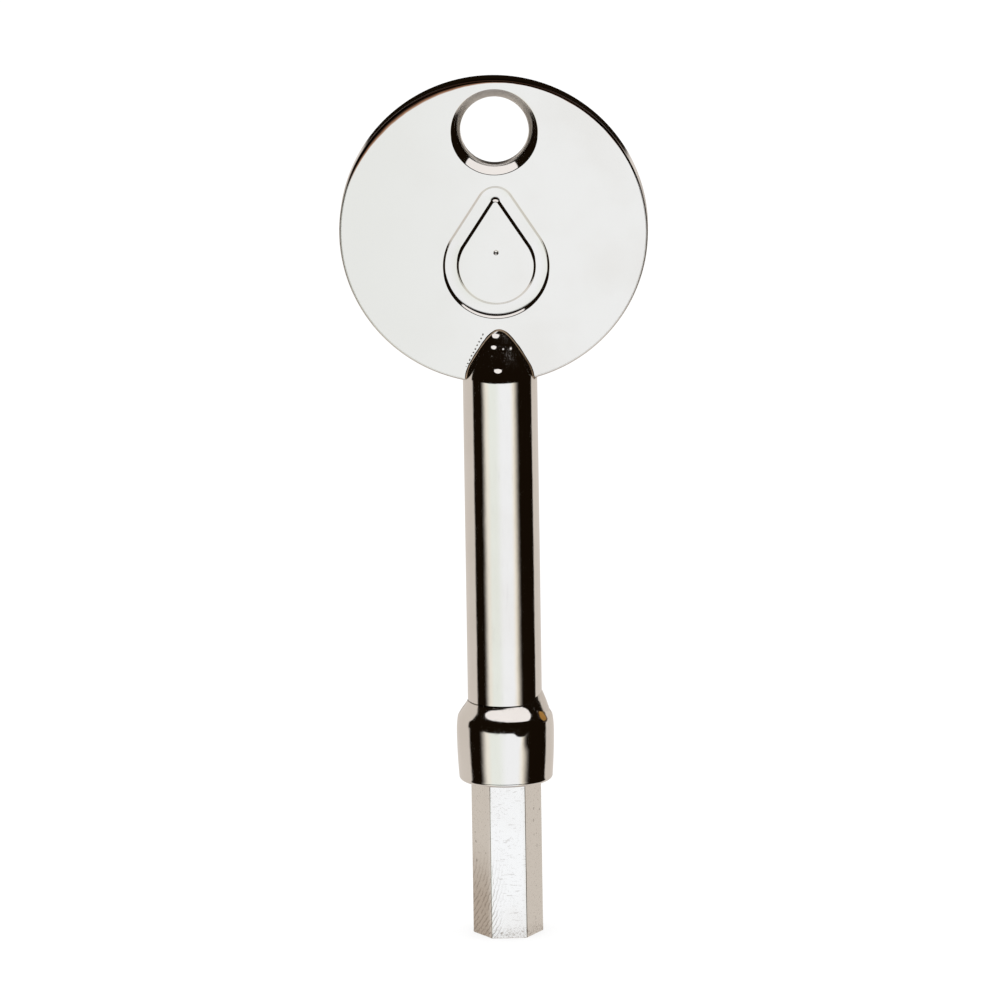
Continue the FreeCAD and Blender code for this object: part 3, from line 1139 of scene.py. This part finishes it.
@dataclass
class Filler(SubAssembly):
    """The beads round the nose and the run in the corner over the collar."""

    slot: Slot = Slot.BRAZE
    stem: Stem = field(default_factory=Stem)
    bead_radius: float = 0.12
    bead_foot: float = 46.871
    plate_half: float = 1.25
    run_height: float = 0.77
    run_down: float = 0.8
    run_angle: float = 120.0
    run_steps: int = 40
    cone_drop: float = 1.22
    cone_out: float = 0.8
    thinnest: float = 0.12

    def outline(self) -> list[Point]:
        """Points along the line where the nose meets the bow's face, up one side and down the other."""
        slope = math.tan(math.radians(self.stem.nose_half_angle))
        top = self.stem.tip - self.plate_half / slope
        half = []
        for step in range(25):
            height = top - (top - self.bead_foot) * (step / 24) ** 1.6
            radius = self.stem.nose_radius(height)
            half.append((math.sqrt(max(radius ** 2 - self.plate_half ** 2, 0.0)), height))
        return [(-across, height) for across, height in reversed(half)] + half[1:]

    def build(self, effects: Effects) -> list[bpy.types.Object]:
        """Models the filler and dresses it.

        Args:
            effects: The shared node groups.

        Returns:
            The two beads and the run.
        """
        bead_finish = BEAD_NICKEL.make(effects)
        return [
            self.fit(self._bead("front_bead", -1, 11), bead_finish, "front_braze"),
            self.fit(self._bead("back_bead", 1, 23), bead_finish, "back_braze"),
            self.fit(self._run(), BRAZE_NICKEL.make(effects), "collar_braze"),
        ]

    def _bead(self, name: str, side: int, seed: int) -> bpy.types.Object:
        """Models one uneven bead.

        Args:
            name: The bead's name.
            side: -1 for the bow's front face and 1 for its back.
            seed: Where its unevenness starts from.

        Returns:
            The bead.
        """
        chance = random.Random(seed)
        points = self.outline()
        line = bpy.data.curves.new(name, "CURVE")
        line.dimensions = "3D"
        line.bevel_depth = self.bead_radius * MM
        line.bevel_resolution = 5
        line.use_fill_caps = True
        spline = line.splines.new("POLY")
        spline.points.add(len(points) - 1)
        for point, (across, height) in zip(spline.points, points):
            point.co = (across * MM, side * self.plate_half * MM, height * MM, 1)
            point.radius = chance.uniform(0.65, 1.0)
        piece = bpy.data.objects.new(name, line)
        bpy.context.scene.collection.objects.link(piece)
        make_active(piece)
        bpy.ops.object.convert(target="MESH")
        piece = bpy.context.view_layer.objects.active
        with editing(piece):
            close_up()
        apply_modifier(piece, "SUBSURF", levels=1, render_levels=1)
        make_active(piece)
        bpy.ops.object.shade_smooth()
        return piece

    def _run(self) -> bpy.types.Object:
        """Models the run of filler over the collar's right side, which dies away at both ends."""
        corner = Vector((self.stem.radius, 0, self.stem.seam))
        foot = corner + Vector((self.cone_out, 0, -self.cone_drop)) * self.run_down
        head = corner + Vector((0, 0, self.run_height))
        swell = (foot + head) / 2 + Vector((0.03, 0, 0.02))
        start = math.radians(-self.run_angle / 2)
        section = [corner - Vector((0.2, 0, 0)), foot, swell, head]
        piece = new_piece("collar_run")
        with editing(piece):
            bpy.ops.mesh.primitive_circle_add(vertices=4, radius=MM, fill_type="NGON")
            mesh = bmesh.from_edit_mesh(piece.data)
            for vert, place in zip(mesh.verts, section):
                vert.co = (Matrix.Rotation(start, 3, "Z") @ place) * MM
            bmesh.update_edit_mesh(piece.data)
            bpy.ops.mesh.subdivide(number_cuts=3, smoothness=0.0)
            bpy.ops.mesh.spin(steps=self.run_steps, angle=-math.radians(self.run_angle), center=(0, 0, 0),
                              axis=(0, 0, 1), use_auto_merge=False)
            bpy.ops.mesh.select_all(action="SELECT")
            bpy.ops.mesh.normals_make_consistent(inside=False)
        return self._taper(piece, corner)

    def _taper(self, piece: bpy.types.Object, corner: Vector) -> bpy.types.Object:
        """Thins the run towards its two ends.

        Args:
            piece: The run with one section all along.
            corner: The corner of the section, at the angle 0.

        Returns:
            The run, thinned.
        """
        for step in range(self.run_steps + 1):
            angle = math.radians(self.run_angle * (step / self.run_steps - 0.5))
            share = max(math.cos(angle * 90 / (self.run_angle / 2)), 0.0) ** 1.2
            place = Matrix.Rotation(angle, 3, "Z") @ corner
            with editing(piece):
                select_where(piece, lambda at: abs(math.atan2(at.y, at.x) - angle) < 0.002)
                thin = self.thinnest + (1 - self.thinnest) * share
                bpy.ops.transform.resize(value=(thin, thin, thin), center_override=place * MM)
        make_active(piece)
        bpy.ops.object.shade_smooth_by_angle(angle=math.radians(50))
        return piece


# ---------------------------------------------------------------- studio


@dataclass(frozen=True)
class Panels:
    """The studio's soft panels as the bright metal sees them: their colours, and where they are in degrees."""

    front: Colour = (1.069, 1.103, 1.163)
    front_left: Colour = (0.977, 1.03, 1.004)
    left_fringe: Colour = (1.00, 0.965, 0.885)
    right_fringe: Colour = (1.02, 0.955, 0.83)
    rear: Colour = (0.72, 0.665, 0.62)
    below: Colour = (0.44, 0.39, 0.385)
    dark: Colour = (0.008, 0.0045, 0.002)
    ceiling: Colour = (1.07, 1.04, 1.05)
    opening_left: Point = (-64.0, -43.0)
    opening_right: Point = (61.0, 38.0)
    flags: tuple[Place, Place] = ((-94.0, -33.0, 4.0), (25.0, 113.5, 3.5))
    sides: tuple[Place, Place] = ((-165.0, -98.0, 3.0), (114.0, 165.0, 3.0))
    sides_top: Point = (48.0, 40.0)


@dataclass
class Studio:
    """The camera, the floor and the soft light."""

    distance: float = 1000.0
    elevation: float = 12.274
    azimuth: float = 1.044
    roll: float = 0.876
    lens: float = 438.8
    sensor: float = 36.0
    look_at: Place = (0.0, 0.0, 36.0)
    aim_right: float = -0.162
    aim_up: float = 0.442
    floor_size: float = 8000.0
    floor_grey: float = 0.30
    floor_glow: float = 0.72
    lamp_size: float = 600.0
    lamp_power: float = 1.0
    lamp_place: Place = (0.0, -100.0, 800.0)
    ceiling_centre: Point = (0.18, -0.275)
    ceiling_reach: Point = (1.00, 0.60)
    panels: Panels = field(default_factory=Panels)

    def build(self) -> None:
        """Sets up the camera, the floor, the lamp and the world."""
        scene = bpy.context.scene
        scene.view_settings.view_transform = "Standard"
        self._camera(scene)
        self._floor()
        self._lamp()
        self._world(scene)

    def _camera(self, scene: bpy.types.Scene) -> None:
        """Adds the camera.

        Args:
            scene: The scene that looks through it.
        """
        turn_, tilt, roll = (math.radians(part) for part in (self.azimuth, self.elevation, self.roll))
        forward = Vector((-math.sin(turn_) * math.cos(tilt), math.cos(turn_) * math.cos(tilt), -math.sin(tilt)))
        level = Vector((math.cos(turn_), math.sin(turn_), 0))
        upward = level.cross(forward)
        right = level * math.cos(roll) - upward * math.sin(roll)
        upward = level * math.sin(roll) + upward * math.cos(roll)
        aim = Vector(self.look_at) + right * self.aim_right + upward * self.aim_up
        camera = bpy.data.objects.new("camera", bpy.data.cameras.new("camera"))
        camera.data.lens = self.lens
        camera.data.sensor_width = self.sensor
        turned = Matrix((right, upward, -forward)).transposed().to_4x4()
        camera.matrix_world = Matrix.Translation((aim - forward * self.distance) * MM) @ turned
        scene.collection.objects.link(camera)
        scene.camera = camera

    def _floor(self) -> None:
        """Adds the plain pale floor, which the polished metal doesn't mirror."""
        floor = new_piece("floor")
        with editing(floor):
            bpy.ops.mesh.primitive_plane_add(size=self.floor_size * MM)
        paper = bpy.data.materials.new("pale_floor")
        paper.use_nodes = True
        shader = paper.node_tree.nodes["Principled BSDF"]
        shader.inputs["Base Color"].default_value = (self.floor_grey, self.floor_grey, self.floor_grey, 1)
        shader.inputs["Emission Color"].default_value = (1, 1, 1, 1)
        shader.inputs["Emission Strength"].default_value = self.floor_glow
        shader.inputs["Roughness"].default_value = 0.9
        shader.inputs["Specular IOR Level"].default_value = 0.0
        floor.data.materials.append(paper)
        floor.visible_glossy = False

    def _lamp(self) -> None:
        """Adds the soft lamp over the floor."""
        lamp = bpy.data.lights.new("overhead_lamp", "AREA")
        lamp.size = self.lamp_size * MM
        lamp.energy = self.lamp_power
        holder = bpy.data.objects.new("overhead_lamp", lamp)
        holder.location = Vector(self.lamp_place) * MM
        holder.visible_glossy = False
        bpy.context.scene.collection.objects.link(holder)

    def _world(self, scene: bpy.types.Scene) -> None:
        """Builds the soft panels round the key, by direction.

        Args:
            scene: The scene that they light.
        """
        world = bpy.data.worlds.new("studio")
        world.use_nodes = True
        scene.world = world
        panels = self.panels
        desk = NodeDesk(world.node_tree)
        x, y, z = desk.split(desk.add("ShaderNodeTexCoord").outputs["Generated"])
        azimuth = desk.math("DEGREES", desk.math("ARCTAN2", x, desk.math("MULTIPLY", y, -1.0)))
        elevation = desk.math("DEGREES", desk.math("ARCSINE", z))
        front = desk.mix(desk.step(azimuth, -20.0, 6.0), panels.front_left, panels.front)
        front = desk.mix(desk.step(azimuth, -30.0, -46.0), front, panels.left_fringe)
        front = desk.mix(desk.step(azimuth, 28.0, 46.0), front, panels.right_fringe)
        opening = desk.math("MULTIPLY", desk.step(azimuth, *panels.opening_left),
                            desk.step(azimuth, *panels.opening_right))
        look = desk.mix(opening, panels.rear, front)
        low = desk.step(elevation, -42.0, -34.0)
        flags = desk.math("ADD", *(desk.window(azimuth, *flag) for flag in panels.flags))
        flags = desk.math("MULTIPLY", flags, desk.math("SUBTRACT", 1.0, opening))
        look = desk.mix(desk.math("MULTIPLY", flags, low), look, panels.dark)
        look = desk.mix(desk.step(elevation, -58.0, -70.0), look, panels.below)
        sides = desk.math("ADD", *(desk.window(azimuth, *side) for side in panels.sides))
        sides = desk.math("MULTIPLY", sides, desk.step(elevation, *panels.sides_top))
        upper = desk.math("MULTIPLY", desk.step(elevation, -6.0, -4.4), desk.math("SUBTRACT", 1.0, sides))
        look = desk.mix(upper, look, panels.dark)
        height = desk.math("MAXIMUM", z, 0.001)
        across, along = (
            desk.math("MULTIPLY_ADD", desk.math("DIVIDE", part, height), 1.0 / reach, -centre / reach)
            for part, centre, reach in zip((x, y), self.ceiling_centre, self.ceiling_reach))
        panel = desk.math("MULTIPLY", desk.step(desk.squares(across, along), 1.10, 0.98), desk.step(z, 0.0, 0.05))
        look = desk.mix(panel, look, panels.ceiling)
        path = desk.add("ShaderNodeLightPath")
        look = desk.mix(path.outputs["Is Diffuse Ray"], look, (1.06, 1.06, 1.06))
        look = desk.mix(path.outputs["Is Camera Ray"], look, (1.0, 1.0, 1.0))
        desk.feed(world.node_tree.nodes["Background"].inputs["Color"], look)


def main() -> None:
    """Builds the studio and every piece of the key."""
    logging.basicConfig(level=logging.INFO, format="%(message)s")
    Studio().build()
    effects = Effects()
    pieces = [Bow().build(effects), Stem().build(effects), Collar().build(effects), HexBit().build(effects)]
    pieces += Filler().build(effects)


if __name__ == "__main__":
    main()
